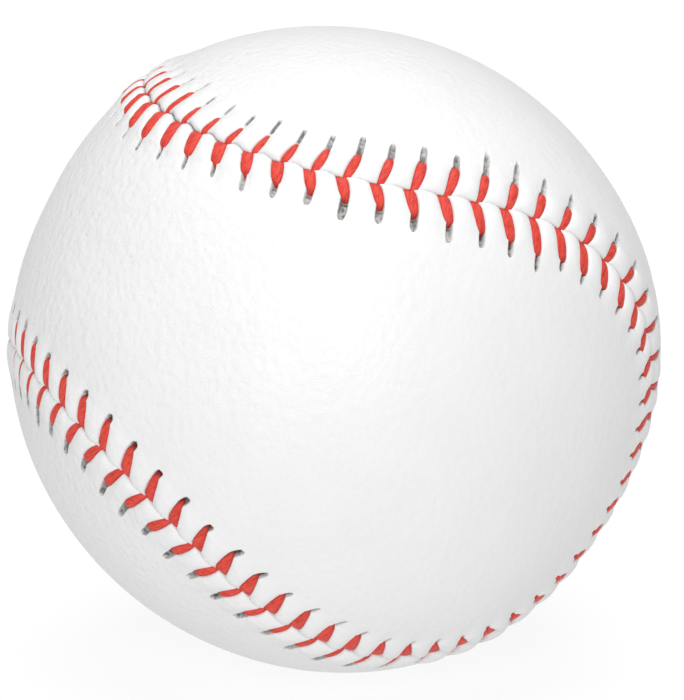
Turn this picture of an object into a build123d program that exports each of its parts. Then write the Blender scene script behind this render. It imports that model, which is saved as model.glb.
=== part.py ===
from build123d import *
import bisect
import math
import os

# A baseball: a cushioned cork centre, four windings of yarn, a cover of two leather panels and its lacing.
# Sizes are in millimetres. The origin is the ball's centre and +Z is up.

# The cushioned centre
cork_diameter = 20.6
black_rubber_wall = 3.95
gasket_thickness = 0.8
red_rubber_wall = 2.4

# The windings, each as the thickness of yarn laid over what it covers
first_winding_build = 14.3
second_winding_build = 1.75
third_winding_build = 2.2
finish_winding_build = 0.55

# The leather cover, and the puffs that stand up between its stitches
leather_thickness = 1.3
seam_gap = 0.3
puff_height = 0.75
puff_across = 2.3

# The lacing, with its needle slits: across is measured from the seam, lead along it
stitches_per_quarter = 27
thread_diameter = 0.7
slit_across = 3.4
slit_lead = 1.0
slit_length = 2.0

# Clearances, and how far a cut runs past what it cuts
layer_clearance = 0.05
thread_clearance = 0.05
puff_clearance = 0.36
cut_overrun = 0.6

# The seam's form: its side lobes and its rise, as shares of the circle that it winds about
seam_lobe_share = 0.502
seam_rise_share = 1.0315

# How the seam lies on the ball: turns about X, Y and Z in degrees, and where along it stitch zero is
seam_turns = (-158.1, 58.6, -159.1)
first_stitch_share = 0.3546

# The thread's bends, and how far apart the two legs of a stitch dive, as shares of its diameter
bend_radius_share = 0.56
drop_spread_share = 0.8

# Points that trace the seam when its length is measured
samples_per_stitch = 40

# Radii that follow from the sizes above
cork_radius = cork_diameter / 2
black_rubber_inside = cork_radius + layer_clearance
black_rubber_outside = black_rubber_inside + black_rubber_wall
red_rubber_inside = black_rubber_outside + layer_clearance
red_rubber_outside = red_rubber_inside + red_rubber_wall
first_winding_inside = red_rubber_outside + layer_clearance
first_winding_outside = first_winding_inside + first_winding_build
second_winding_inside = first_winding_outside + layer_clearance
second_winding_outside = second_winding_inside + second_winding_build
third_winding_inside = second_winding_outside + layer_clearance
third_winding_outside = third_winding_inside + third_winding_build
finish_winding_inside = third_winding_outside + layer_clearance
finish_winding_outside = finish_winding_inside + finish_winding_build
cover_inside = finish_winding_outside + layer_clearance
cover_outside = cover_inside + leather_thickness


def seam_direction(angle):
    """The unit vector from the ball's centre towards the seam at an angle round its middle circle."""
    side = math.cos(angle) + seam_lobe_share * math.cos(3 * angle)
    front = math.sin(angle) - seam_lobe_share * math.sin(3 * angle)
    rise = seam_rise_share * math.sin(2 * angle)
    return Vector(side, front, rise).normalized()


# The seam's angles at even steps, and the length run so far at each, on a ball of radius one
stitch_count = 4 * stitches_per_quarter
sample_count = stitch_count * samples_per_stitch
sample_angles = [2 * math.pi * step / sample_count for step in range(sample_count + 1)]
sample_directions = [seam_direction(angle) for angle in sample_angles]
run_lengths = [0.0]
for before, after in zip(sample_directions, sample_directions[1:]):
    run_lengths.append(run_lengths[-1] + (after - before).length)
stitch_pitch = run_lengths[-1] * cover_outside / stitch_count


def chord_sag(length):
    """How far the middle of a straight run of this length lies below the cover's outside at its ends."""
    return cover_outside - math.sqrt(cover_outside**2 - (length / 2) ** 2)


# The thread, the room that it takes, and the two levels that it runs at: over and under the leather
thread_radius = thread_diameter / 2
thread_room = thread_radius + thread_clearance
bend_radius = bend_radius_share * thread_diameter
drop_spread = drop_spread_share * thread_diameter
leg_length = math.hypot(slit_across, slit_lead + drop_spread)
run_length = math.hypot(slit_across, stitch_pitch - slit_lead + drop_spread)
level_over = cover_outside + thread_room + chord_sag(leg_length)
level_under = cover_inside + thread_room + chord_sag(run_length)
tunnel_top = level_under + thread_room
tunnel_half_width = slit_across + slit_length + 2 * thread_room
puff_rim = stitch_pitch / 2 - thread_radius - puff_clearance


def seam_angle(stitch):
    """The angle of a place on the seam, counted in stitches and parts of a stitch from stitch zero."""
    share = (first_stitch_share + stitch / stitch_count) % 1
    run = share * run_lengths[-1]
    step = min(bisect.bisect_right(run_lengths, run), sample_count)
    part = (run - run_lengths[step - 1]) / (run_lengths[step] - run_lengths[step - 1])
    return sample_angles[step - 1] + part * (sample_angles[step] - sample_angles[step - 1])


def seam_place(stitch, along, across, radius):
    """A point beside the seam: a lead along from a stitch, a distance across, at a radius."""
    angle = seam_angle(stitch + along / stitch_pitch)
    step = sample_angles[1]
    outward = seam_direction(angle)
    onward = (seam_direction(angle + step) - seam_direction(angle - step)).normalized()
    sideways = outward.cross(onward)
    swing = across / cover_outside
    return (outward * math.cos(swing) + sideways * math.sin(swing)) * radius


def hollow_ball(inside, outside):
    """A ball of one radius with a ball of another taken out of it."""
    return Sphere(outside) - Sphere(inside)


def seam_wall(across):
    """A wall that stands at a distance beside the seam and cuts through the cover, in a flat face a stitch."""
    low = cover_inside - cut_overrun
    high = cover_outside + puff_height + cut_overrun
    faces = []
    for stitch in range(stitch_count):
        ends = [(stitch, low), (stitch + 1, low), (stitch + 1, high), (stitch, high)]
        corners = [seam_place(end, 0, across, radius) for end, radius in ends]
        faces.append(Face(Wire.make_polygon(corners)))
    return Shell(faces)


def side_holding(solid, wall, point):
    """The piece of a solid, cut by a wall, that a point is in."""
    pieces = [piece for part in solid.split(wall, keep=Keep.ALL) for piece in part.solids()]
    return next(piece for piece in pieces if piece.is_inside(point))


def puff(stitch):
    """The leather puff that stands up between a stitch and the next, as a ball that is mostly sunk."""
    radius = (puff_rim**2 + puff_height**2) / (2 * puff_height)
    lead = stitch_pitch / 2 + slit_lead * puff_across / slit_across
    centre = seam_place(stitch, lead, puff_across, cover_outside + puff_height - radius)
    return Plane(origin=centre, z_dir=centre) * Sphere(radius)


def leather_slot(start, end):
    """A slot through the leather, as wide as the thread's room, from one place by the seam to another."""
    base = cover_inside - cut_overrun
    first = seam_place(*start, base)
    last = seam_place(*end, base)
    middle = (first + last) / 2
    plane = Plane(origin=middle, x_dir=last - first, z_dir=middle)
    outline = plane * SlotCenterToCenter((last - first).length, 2 * thread_room)
    return extrude(outline, leather_thickness + puff_height + 2 * cut_overrun)


def needle_slit(stitch):
    """The slit that the needle leaves in the leather: the thread goes down at its end by the seam."""
    start = (stitch, slit_lead, slit_across)
    return leather_slot(start, (stitch, slit_lead, slit_across + slit_length))


def drop_notch(stitch):
    """The notch in the seam where the two legs of a stitch dive under the leather."""
    return leather_slot((stitch, -drop_spread, 0), (stitch, drop_spread, 0))


def thread_tunnel():
    """The room under both edges of the cover where the lacing runs on to its next slit."""
    band = hollow_ball(cover_inside - layer_clearance, tunnel_top).solid()
    on_seam = seam_place(0, 0, 0, cover_inside)
    for side in (1, -1):
        band = side_holding(band, seam_wall(side * tunnel_half_width), on_seam)
    return band


def cover_panel():
    """One leather panel of the cover, with its puffs, needle slits and seam notches."""
    stitches = range(stitch_count)
    outer = Sphere(cover_outside).fuse(*[puff(stitch) for stitch in stitches])
    cover = outer.cut(Sphere(cover_inside), thread_tunnel()).solid()
    on_panel = seam_place(0, 0, tunnel_half_width, (tunnel_top + cover_outside) / 2)
    panel = side_holding(cover, seam_wall(seam_gap / 2), on_panel)
    slots = [make(stitch) for make in (needle_slit, drop_notch) for stitch in stitches]
    return panel.cut(*slots).solid()


def facing_panel(panel):
    """The other panel of the cover: the seam meets itself when it is turned a quarter and mirrored."""
    return (Rotation(0, 0, 90) * panel).mirror(Plane.XY)


def lacing_points(first_side):
    """The corners of one strand's route, from its first slit to its last dive into the seam."""
    points = []
    for step in range(stitch_count):
        side = first_side * (-1) ** step
        slit = (-step, slit_lead, side * slit_across)
        drop = (-step, side * drop_spread, 0)
        points += [seam_place(*slit, level_under), seam_place(*slit, level_over)]
        points += [seam_place(*drop, level_over), seam_place(*drop, level_under)]
    return points


def rounded_path(points):
    """Straight runs between points, with a tangent arc of the thread's bend at each corner."""
    edges = []
    start = points[0]
    for before, corner, after in zip(points, points[1:], points[2:]):
        back = (before - corner).normalized()
        onward = (after - corner).normalized()
        half_angle = math.radians(back.get_angle(onward)) / 2
        reach = bend_radius / math.tan(half_angle)
        bisector = (back + onward).normalized()
        middle = corner + bisector * (bend_radius / math.sin(half_angle) - bend_radius)
        edges.append(Edge.make_line(start, corner + back * reach))
        edges.append(Edge.make_three_point_arc(corner + back * reach, middle, corner + onward * reach))
        start = corner + onward * reach
    edges.append(Edge.make_line(start, points[-1]))
    return Wire(edges)


def lacing_strand(first_side):
    """One strand of the lacing, an unbroken round thread."""
    path = rounded_path(lacing_points(first_side))
    section = Plane(origin=path @ 0, z_dir=path % 0) * Circle(thread_radius)
    strand = sweep(section, path=path)
    print("strand length", path.length, "volume over section", strand.volume / section.area)
    return strand


def main():
    """Make every piece and write each to its own file."""
    black_rubber = hollow_ball(black_rubber_inside, black_rubber_outside)
    gasket_disc = Cylinder(black_rubber_outside, gasket_thickness)
    gasket_room = Cylinder(red_rubber_outside, gasket_thickness + 2 * layer_clearance)
    rubber_halves = (black_rubber - gasket_room).solids().sort_by(Axis.Z)
    turn = Rotation(*seam_turns)
    panel = cover_panel()
    pieces = {
        "cork_core": Sphere(cork_radius),
        "black_rubber_lower": rubber_halves[0],
        "black_rubber_upper": rubber_halves[-1],
        "rubber_gasket": gasket_disc & black_rubber,
        "red_rubber_cover": hollow_ball(red_rubber_inside, red_rubber_outside),
        "first_winding": hollow_ball(first_winding_inside, first_winding_outside),
        "second_winding": hollow_ball(second_winding_inside, second_winding_outside),
        "third_winding": hollow_ball(third_winding_inside, third_winding_outside),
        "finish_winding": hollow_ball(finish_winding_inside, finish_winding_outside),
        "cover_panel_a": turn * panel,
        "cover_panel_b": turn * facing_panel(panel),
        "lacing_strand_a": turn * lacing_strand(1),
        "lacing_strand_b": turn * lacing_strand(-1),
    }
    os.makedirs("parts", exist_ok=True)
    for name, piece in pieces.items():
        export_step(piece, "parts/" + name + ".step")


main()
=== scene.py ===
"""Dresses a baseball: its leather cover, its lacing, its windings and its cushioned centre."""
import logging
import math
from dataclasses import dataclass
from enum import Enum
from typing import Any, Callable

import bmesh
import bpy
import numpy as np
from mathutils import Matrix, Vector


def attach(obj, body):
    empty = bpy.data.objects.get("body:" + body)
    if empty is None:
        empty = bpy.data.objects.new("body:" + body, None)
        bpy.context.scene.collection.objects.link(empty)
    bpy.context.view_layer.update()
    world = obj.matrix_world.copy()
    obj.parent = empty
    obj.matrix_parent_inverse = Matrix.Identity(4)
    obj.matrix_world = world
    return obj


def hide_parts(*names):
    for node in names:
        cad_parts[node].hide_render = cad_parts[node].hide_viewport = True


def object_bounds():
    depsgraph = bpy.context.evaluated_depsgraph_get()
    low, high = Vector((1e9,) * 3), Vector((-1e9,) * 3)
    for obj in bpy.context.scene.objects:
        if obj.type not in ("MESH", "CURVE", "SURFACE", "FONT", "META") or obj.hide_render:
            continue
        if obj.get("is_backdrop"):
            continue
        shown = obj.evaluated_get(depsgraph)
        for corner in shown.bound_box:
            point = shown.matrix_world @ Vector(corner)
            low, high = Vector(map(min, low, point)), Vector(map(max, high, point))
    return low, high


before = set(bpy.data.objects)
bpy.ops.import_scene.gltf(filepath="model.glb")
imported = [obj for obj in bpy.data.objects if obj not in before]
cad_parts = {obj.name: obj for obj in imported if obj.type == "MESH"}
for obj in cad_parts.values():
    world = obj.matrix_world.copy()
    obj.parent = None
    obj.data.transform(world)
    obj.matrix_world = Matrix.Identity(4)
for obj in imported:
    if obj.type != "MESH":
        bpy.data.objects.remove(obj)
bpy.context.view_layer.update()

LOG = logging.getLogger("baseball")

# Sizes below are in millimetres and become metres when a mesh is made.
MM = 0.001
BODY = "root"
SEED = 108
Knots = tuple[tuple[float, float], ...]
Triple = tuple[float, float, float]

# The sockets of a Mix node for colours: its share, the colour under, the colour over, and what comes out
MIX_SHARE, MIX_UNDER, MIX_OVER, MIX_OUT = 0, 6, 7, 2


def linear(hex_colour: str) -> tuple[float, float, float, float]:
    """Turns an sRGB hex colour into the linear colour that a shader takes.

    Args:
        hex_colour: Six hex digits after a hash sign.

    Returns:
        Linear red, green, blue and an alpha of one.
    """
    parts = [int(hex_colour[place:place + 2], 16) / 255 for place in (1, 3, 5)]
    red, green, blue = [
        part / 12.92 if part <= 0.04045 else ((part + 0.055) / 1.055) ** 2.4 for part in parts
    ]
    return red, green, blue, 1.0


def smoothstep(low: Any, high: Any, value: Any) -> np.ndarray:
    """Rises smoothly from nought at one value to one at another.

    Args:
        low: Where the rise starts.
        high: Where the rise ends.
        value: Where it is wanted.

    Returns:
        The share of the rise reached.
    """
    share = np.clip((value - low) / (high - low), 0.0, 1.0)
    return share * share * (3.0 - 2.0 * share)


def eased(value: Any, knots: Knots) -> np.ndarray:
    """Reads a smooth curve through a few knots, which never swings past them and is level past both ends.

    Args:
        value: Where the curve is read.
        knots: Pairs of place and height.

    Returns:
        The heights there.
    """
    places = np.array([knot[0] for knot in knots])
    heights = np.array([knot[1] for knot in knots])
    rises = np.diff(heights) / np.diff(places)
    steepest = 3 * np.minimum(np.abs(rises[:-1]), np.abs(rises[1:])) * (rises[:-1] * rises[1:] > 0)
    slopes = np.gradient(heights, places)
    slopes[1:-1] = np.clip(slopes[1:-1], -steepest, steepest)
    spots = np.clip(np.asarray(value, float), places[0], places[-1])
    left = np.clip(np.searchsorted(places, spots, side="right") - 1, 0, len(places) - 2)
    span = places[left + 1] - places[left]
    t = (spots - places[left]) / span
    keep = (1 + 2 * t) * (1 - t) ** 2 * heights[left] + t * t * (3 - 2 * t) * heights[left + 1]
    lean = t * (1 - t) ** 2 * slopes[left] - t * t * (1 - t) * slopes[left + 1]
    return keep + lean * span


def unit(vectors: np.ndarray) -> np.ndarray:
    """Gives vectors a length of one."""
    return vectors / np.linalg.norm(vectors, axis=-1, keepdims=True)


def run_lengths(spots: np.ndarray) -> np.ndarray:
    """Measures a line of points: the length run so far at each of them."""
    steps = np.linalg.norm(np.diff(spots, axis=0), axis=1)
    return np.concatenate([[0.0], np.cumsum(steps)])


def add_object(name: str, data: Any) -> bpy.types.Object:
    """Adds an object to the scene.

    Args:
        name: The object's name.
        data: Its mesh, lamp or camera.

    Returns:
        The new object.
    """
    thing = bpy.data.objects.new(name, data)
    bpy.context.scene.collection.objects.link(thing)
    return thing


class Side(Enum):
    """The two sides of the seam."""

    OUTER = 1
    CENTRAL = -1

    @property
    def row(self) -> int:
        """The row of this side in a table of both sides."""
        return 0 if self is Side.OUTER else 1

    @property
    def facing(self) -> "Side":
        """The side across the seam."""
        return Side(-self.value)


@dataclass
class Seam:
    """The closed line where the two panels meet, counted in stitches from stitch zero."""

    radius: float = 37.1
    lobe_share: float = 0.502
    rise_share: float = 1.0315
    turns: Triple = (-158.1, 58.6, -159.1)
    first_stitch_share: float = 0.3546
    stitches: int = 108
    samples: int = 4320
    # The distance to the whole seam is summed over one sample in so many
    samples_apart: int = 8

    def __post_init__(self) -> None:
        """Measures the line, so that stitches come out evenly spaced."""
        about_x, about_y, about_z = [
            Matrix.Rotation(math.radians(turn), 3, axis) for turn, axis in zip(self.turns, "XYZ")
        ]
        self.turn: np.ndarray = np.array(about_x @ about_y @ about_z)
        self.angles: np.ndarray = np.linspace(0.0, 2 * math.pi, self.samples + 1)
        self.runs: np.ndarray = run_lengths(self.direction(self.angles))

    @property
    def pitch(self) -> float:
        """The distance from one stitch to the next, on the plain leather."""
        return self.runs[-1] * self.radius / self.stitches

    def direction(self, angle: np.ndarray) -> np.ndarray:
        """Unit vectors from the ball's centre to the seam.

        Args:
            angle: Angles round the seam's middle circle.

        Returns:
            One vector for each angle.
        """
        side = np.cos(angle) + self.lobe_share * np.cos(3 * angle)
        front = np.sin(angle) - self.lobe_share * np.sin(3 * angle)
        rise = self.rise_share * np.sin(2 * angle)
        return unit(np.stack([side, front, rise], axis=-1)) @ self.turn.T

    def angle(self, stitch: Any) -> np.ndarray:
        """The seam's angle at a place counted in stitches."""
        share = (self.first_stitch_share + np.asarray(stitch, float) / self.stitches) % 1.0
        return np.interp(share * self.runs[-1], self.runs, self.angles)

    def axes(self, stitch: Any) -> tuple[np.ndarray, np.ndarray, np.ndarray]:
        """The directions outward, onward along the seam, and sideways across it.

        Args:
            stitch: Places counted in stitches.

        Returns:
            Three arrays of unit vectors.
        """
        angle = self.angle(stitch)
        step = self.angles[1]
        outward = self.direction(angle)
        onward = unit(self.direction(angle + step) - self.direction(angle - step))
        return outward, onward, np.cross(outward, onward)

    def closeness(self, directions: np.ndarray) -> tuple[np.ndarray, np.ndarray, np.ndarray]:
        """How far directions lie from the whole seam, without a break where two runs are as near.

        Args:
            directions: Unit vectors from the ball's centre.

        Returns:
            The distance of each on the plain leather, what share each place on the seam has in it,
            and those places counted in stitches.
        """
        runs = self.runs[::self.samples_apart]
        places = self.direction(self.angles[:-1:self.samples_apart])
        apart = self.radius * np.arccos(np.clip(directions @ places.T, -1.0, 1.0))
        # Summed along a straight seam, the eighth power of nearness is 5 pi / 16 over the distance's
        # seventh power, so the distance comes back exactly
        near = self.radius * np.diff(runs) * apart ** -8.0
        total = near.sum(axis=-1)
        across = (total * 16 / (5 * math.pi)) ** (-1 / 7)
        stitch = (runs[:-1] / self.runs[-1] - self.first_stitch_share) % 1.0 * self.stitches
        return across, near / total[..., None], stitch

    def place(self, along: Any, across: Any, height: Any) -> np.ndarray:
        """Points beside the seam.

        Args:
            along: Distances along the seam from stitch zero.
            across: Distances across it, above nought on the outer side.
            height: Heights over the plain leather.

        Returns:
            One point for each set of three.
        """
        along, across, height = np.broadcast_arrays(along, across, height)
        outward, _, sideways = self.axes(along / self.pitch)
        swing = (across / self.radius)[..., None]
        spots = outward * np.cos(swing) + sideways * np.sin(swing)
        return spots * (self.radius + height)[..., None]


@dataclass
class StitchPlan:
    """Where each stitch's legs, holes and slits lie: hand work, so no two are quite alike."""

    seam: Seam
    outer_start: float = 0.38
    central_start: float = -0.26
    lead_wander: float = 0.08
    across_wander: float = 0.12
    length_wander: float = 0.30
    share_wander: float = 0.09
    tone_wander: float = 0.2
    lead_bow: float = 0.8
    level_within: float = 4.0

    # By stitch number: how far a stitch has crept along the seam, how far its legs reach and lead on,
    # and how long, how dark with raw leather and painted shade, how wide and how slanted the slits past them
    # are. Then how far past the thread's end they open, and how much painted shade fills the hole that the
    # thread goes down.
    creep: Knots = (
        (0, -1.2), (4, -1.0), (6, -0.7), (9, -0.45), (12, -0.4), (15, 0.0), (18, 0.0), (21, 0.35),
        (24, 0.2), (27, -0.1), (30, -0.4), (33, -0.8), (37, -1.05), (40, -0.75), (43, -0.25), (46, 0.05),
        (49, 0.4), (52, 0.7), (55, 0.3), (60, 0.0), (80, -0.6), (108, -1.2),
    )
    outer_reach: Knots = (
        (0, 3.0), (2, 3.4), (3, 3.6), (4, 4.0), (5, 2.9), (7, 2.6), (11, 3.3), (14, 3.9), (15, 3.9),
        (17, 3.4), (24, 3.2), (36, 3.1), (41, 2.8), (45, 2.95), (48, 3.35), (54, 3.4), (62, 3.3),
        (108, 3.0),
    )
    central_reach: Knots = (
        (0, 3.1), (2, 3.2), (3, 3.7), (4, 3.7), (6, 3.0), (8, 2.6), (11, 2.65), (14, 3.4), (16, 3.9),
        (17, 4.4), (18, 3.8), (19, 3.7), (20, 3.4), (22, 3.0), (24, 2.8), (26, 3.1), (36, 2.9), (41, 3.8),
        (46, 3.3), (50, 3.7), (55, 3.2), (62, 3.2), (108, 3.1),
    )
    outer_lead: Knots = (
        (0, 0.95), (8, 1.0), (11, 1.2), (14, 1.45), (20, 1.45), (26, 1.2), (40, 0.9), (45, 1.05),
        (50, 1.4), (56, 1.25), (108, 0.95),
    )
    central_lead: Knots = (
        (0, 1.0), (6, 0.95), (9, 0.82), (14, 0.72), (18, 0.85), (23, 0.7), (30, 0.9), (42, 1.0),
        (46, 0.95), (50, 0.78), (56, 0.8), (108, 1.0),
    )
    outer_slit: Knots = ((0, 1.9), (6, 2.0), (12, 2.4), (24, 2.1), (40, 1.9), (56, 2.0), (108, 1.9))
    central_slit: Knots = (
        (0, 1.7), (8, 1.8), (12, 2.1), (16, 2.0), (20, 1.4), (24, 1.2), (28, 0.7), (36, 0.8), (39, 1.2),
        (42, 1.4), (44, 1.25), (46, 1.1), (56, 1.1), (70, 1.6), (108, 1.7),
    )
    outer_tone: Knots = (
        (0, 0.65), (6, 0.75), (10, 0.95), (16, 0.9), (20, 0.78), (28, 0.7), (36, 0.8), (42, 0.95),
        (56, 0.9), (100, 0.7), (108, 0.65),
    )
    central_tone: Knots = (
        (0, 0.85), (13, 0.82), (16, 0.9), (24, 0.9), (30, 0.5), (38, 0.5), (42, 0.9), (56, 1.0),
        (70, 0.8), (108, 0.85),
    )
    outer_slim: Knots = (
        (0, 0.55), (6, 0.55), (9, 0.8), (11, 1.0), (15, 0.8), (18, 0.68), (26, 0.6), (34, 0.6), (42, 0.9),
        (54, 1.0), (58, 0.8), (100, 0.8), (108, 0.55),
    )
    central_slim: Knots = (
        (0, 0.55), (6, 0.55), (9, 0.8), (11, 1.0), (15, 0.8), (18, 0.7), (26, 0.6), (42, 0.6), (45, 0.85),
        (54, 0.9), (58, 0.8), (100, 0.8), (108, 0.55),
    )
    outer_lean: Knots = ((0, 0.0), (10, 0.0), (14, 0.15), (18, 0.3), (26, 0.3), (34, 0.0), (108, 0.0))
    central_lean: Knots = (
        (0, 0.3), (7, 0.3), (10, 0.0), (35, 0.0), (38, -0.3), (41, -0.45), (44, -0.35), (46, -0.2),
        (48, -0.1), (50, 0.0), (100, 0.0), (108, 0.3),
    )
    outer_late: Knots = ((0, 0.9), (6, 0.9), (10, 0.1), (12, 0.0), (90, 0.0), (108, 0.9))
    outer_pit_shade: Knots = ((0, 0.2), (56, 0.4), (108, 0.2))
    central_pit_shade: Knots = (
        (0, 0.1), (12, 0.15), (15, 0.6), (18, 0.9), (24, 1.0), (28, 0.4), (38, 0.4), (44, 0.9), (46, 1.0),
        (52, 1.0), (56, 0.6), (108, 0.1),
    )
    # By stitch number: how high the thread lies, how far its legs take on the other shape or, below
    # nought, turn from it, and how full they are
    outer_lift: Knots = (
        (0, 0.15), (5, 0.12), (9, 0.0), (18, 0.0), (22, -0.12), (26, -0.17), (36, -0.20), (41, 0.0),
        (52, 0.0), (55, -0.06), (57, -0.12), (60, -0.06), (66, 0.0), (108, 0.15),
    )
    central_lift: Knots = (
        (0, 0.28), (5, 0.22), (9, 0.05), (13, 0.0), (51, 0.05), (55, 0.08), (57, -0.08), (60, -0.04),
        (66, 0.0), (108, 0.28),
    )
    club: Knots = (
        (0, 0.0), (15, 0.0), (19, 0.5), (23, 1.0), (30, 1.0), (33, 0.2), (36, -0.5), (38, -0.6),
        (46, -0.6), (49, -0.2), (52, 0.0), (108, 0.0),
    )
    wedge: Knots = ((0, 0.3), (3, 0.3), (5, 0.9), (9, 0.9), (12, 0.2), (14, 0.0), (100, 0.0), (108, 0.3))
    outer_girth: Knots = (
        (0, 0.95), (6, 0.9), (10, 0.98), (14, 1.05), (20, 1.05), (24, 0.88), (36, 0.88), (42, 1.0),
        (50, 1.1), (52, 1.1), (54, 0.92), (57, 0.9), (62, 0.95), (108, 0.95),
    )
    central_girth: Knots = (
        (0, 1.22), (5, 1.25), (10, 1.06), (14, 1.08), (18, 1.2), (22, 1.25), (28, 1.2), (33, 1.25),
        (37, 1.12), (41, 1.15), (44, 1.06), (48, 1.0), (51, 1.12), (53, 1.3), (55, 1.3), (58, 1.05),
        (62, 1.0), (108, 1.22),
    )
    # By share of the way from the seam to the hole: the usual width of a leg, and the other shape's
    outer_width: Knots = ((0.0, 0.80), (0.2, 1.02), (0.45, 1.20), (0.7, 1.25), (0.9, 1.08), (1.0, 0.92))
    central_width: Knots = ((0.0, 1.28), (0.2, 1.38), (0.45, 1.36), (0.7, 1.26), (0.9, 1.05), (1.0, 0.88))
    wedge_width: Knots = ((0.0, 0.95), (0.2, 1.30), (0.45, 1.22), (0.7, 0.92), (0.9, 0.65), (1.0, 0.52))
    club_width: Knots = ((0.0, 0.95), (0.2, 1.05), (0.45, 1.25), (0.7, 1.42), (0.9, 1.36), (1.0, 1.12))
    # How high the leather stands over the plain ball by distance from the seam, then the share of that,
    # and of the puffs' height, by stitch number
    welt: Knots = (
        (0.0, 0.56), (0.8, 0.66), (2.0, 0.70), (3.4, 0.68), (4.8, 0.64), (6.5, 0.60), (8.3, 0.55),
        (10, 0.48), (13, 0.36), (16, 0.23), (20, 0.07), (24, -0.03), (30, -0.14),
    )
    outer_swell: Knots = (
        (0, 1.4), (5, 1.15), (10, 1.0), (17, 1.2), (20, 1.5), (22, 1.75), (25, 1.25), (27, 0.55),
        (30, 0.2), (32, 0.7), (35, 1.3), (38, 1.3), (42, 1.1), (52, 1.05), (57, 0.65), (62, 0.9),
        (100, 1.1), (108, 1.4),
    )
    central_swell: Knots = (
        (0, 1.35), (4, 1.05), (10, 0.95), (18, 0.95), (22, 1.25), (25, 1.05), (27, 0.6), (30, 0.35),
        (32, 0.75), (35, 1.25), (38, 1.2), (42, 1.0), (52, 1.0), (57, 0.6), (62, 0.9), (100, 1.1),
        (108, 1.35),
    )
    puffing: Knots = (
        (0, 1.1), (20, 1.0), (24, 0.9), (27, 0.6), (30, 0.55), (32, 0.85), (35, 1.1), (53, 1.0),
        (58, 0.65), (64, 1.0), (108, 1.1),
    )

    def __post_init__(self) -> None:
        """Draws each stitch's small departures from the plan, the same on every run."""
        draw = np.random.default_rng(SEED)
        shape = (2, self.seam.stitches)
        number = np.arange(self.seam.stitches)
        reach, lean, slits, tones, pit_shades, girths, lifts, slims, tilts = [
            np.stack([eased(number, outer), eased(number, central)]) for outer, central in (
                (self.outer_reach, self.central_reach),
                (self.outer_lead, self.central_lead),
                (self.outer_slit, self.central_slit),
                (self.outer_tone, self.central_tone),
                (self.outer_pit_shade, self.central_pit_shade),
                (self.outer_girth, self.central_girth),
                (self.outer_lift, self.central_lift),
                (self.outer_slim, self.central_slim),
                (self.outer_lean, self.central_lean),
            )
        ]
        self.lifts: np.ndarray = lifts
        self.clubs: np.ndarray = eased(number, self.club)
        self.wedges: np.ndarray = eased(number, self.wedge)
        self.slims: np.ndarray = slims
        self.tilts: np.ndarray = tilts
        self.lates: np.ndarray = np.stack([eased(number, self.outer_late), np.zeros(self.seam.stitches)])
        creep = eased(number, self.creep)
        middle = creep + np.array([[self.outer_start], [self.central_start]])
        self.leads: np.ndarray = creep + lean + self.lead_wander * draw.uniform(-1, 1, shape)
        self.holes: np.ndarray = reach + self.across_wander * draw.uniform(-1, 1, shape)
        self.ends: np.ndarray = self.holes + slits * (1 + self.length_wander * draw.uniform(-1, 1, shape))
        self.puffs: np.ndarray = eased(number, self.puffing) + self.share_wander * draw.uniform(-1, 1, shape)
        self.widths: np.ndarray = girths + self.share_wander * draw.uniform(-1, 1, shape)
        self.starts: np.ndarray = middle + self.lead_wander / 2 * draw.uniform(-1, 1, shape)
        tones *= 1 + self.tone_wander * draw.uniform(-1, 1, shape)
        pit_shades *= 1 + 2 * self.tone_wander * draw.uniform(-1, 1, shape)
        self.tones: np.ndarray = np.clip(tones, 0.0, 1.0)
        self.pit_shades: np.ndarray = np.clip(pit_shades, 0.0, 1.0)

    def leg_lead(self, side: Side, across: Any, stitch: Any = slice(None)) -> np.ndarray:
        """How far along the seam from its stitch the middle of a leg, or of the slit past it, lies.

        Args:
            side: The side of the seam that the leg is on.
            across: The distance from the seam.
            stitch: The stitches that are wanted.

        Returns:
            The lead of each of them.
        """
        start = self.starts[side.row][stitch]
        hole = self.holes[side.row][stitch]
        share = np.clip(across / hole, 0.0, 1.0)
        past = np.clip(across - hole, 0.0, self.ends[side.row][stitch] - hole)
        lead = (self.leads[side.row][stitch] - start) * share ** self.lead_bow
        return start + lead + self.tilts[side.row][stitch] * past

    def leg_width(self, side: Side, share: Any, stitch: Any = slice(None)) -> np.ndarray:
        """How wide the flattened thread of a leg is.

        Args:
            side: The side of the seam that the leg is on.
            share: The share of the way from the seam to the hole.
            stitch: The stitches that are wanted.

        Returns:
            The width of each of them.
        """
        if side is Side.OUTER:
            part = self.wedges[stitch]
            usual, other = self.outer_width, self.wedge_width
        else:
            part = self.clubs[stitch]
            usual, other = self.central_width, self.club_width
        width = (1 - part) * eased(share, usual) + part * eased(share, other)
        return width * self.widths[side.row][stitch]

    def ground(self, side: Side, across: Any, stitch: Any) -> np.ndarray:
        """How high the leather stands over the plain ball, puffs apart.

        Args:
            side: The side of the seam.
            across: Distances from the seam.
            stitch: Places along it, counted in stitches.

        Returns:
            The heights there. At the seam itself the two sides are level.
        """
        place = np.asarray(stitch) % self.seam.stitches
        swells = [eased(place, knots) for knots in (self.outer_swell, self.central_swell)]
        level = 0.5 * (swells[0] + swells[1])
        apart = smoothstep(0.0, self.level_within, across)
        return eased(across, self.welt) * (level + apart * (swells[side.row] - level))

    def field_ground(self, side: Side, directions: np.ndarray) -> np.ndarray:
        """How high the leather stands over the plain ball in a panel's field.

        Args:
            side: The side of the seam.
            directions: Unit vectors from the ball's centre.

        Returns:
            The height in each direction.
        """
        across, shares, stitch = self.seam.closeness(directions)
        swell = eased(stitch, self.outer_swell if side is Side.OUTER else self.central_swell)
        return eased(across, self.welt) * (shares @ swell)


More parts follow.
